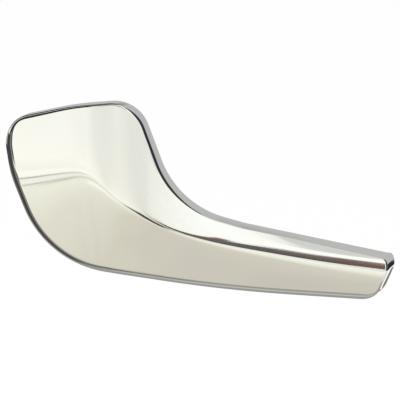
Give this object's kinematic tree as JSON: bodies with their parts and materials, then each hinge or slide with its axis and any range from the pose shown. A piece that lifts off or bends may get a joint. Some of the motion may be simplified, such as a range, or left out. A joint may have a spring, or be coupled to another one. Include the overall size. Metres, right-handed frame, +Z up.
{
  "type": "car interior door handle",
  "caption": "Chrome-plated interior door pull with a broad head and a creased tapering grip, hinged on a steel pin and returned by a torsion spring",
  "frame": {"origin": "on the hinge axis, at the lower shoulder of the pivot pin, where the lower ear of the door begins", "axes": "X to the rear of the car along the pull, Y from the cabin into the door, Z up along the hinge axis"},
  "size_m": [0.1268, 0.0361, 0.0595],
  "materials": {
    "chrome_plate": "polished",
    "turned_steel": "satin",
    "spring_wire": "satin"
  },
  "bodies": {
    "hinge": {"pivot_pin": "turned_steel", "return_spring": "spring_wire"},
    "lever": {"lever": "chrome_plate"}
  },
  "joints": [
    {"name": "lever_swing", "type": "hinge", "parent": "hinge", "child": "lever", "pos_m": [0, 0, 0], "axis": [0, 0, -1], "range_deg": [0, 40], "stiffness_Nm_per_rad": 0.196, "springref_deg": -29.79, "deforming": ["return_spring"]}
  ]
}
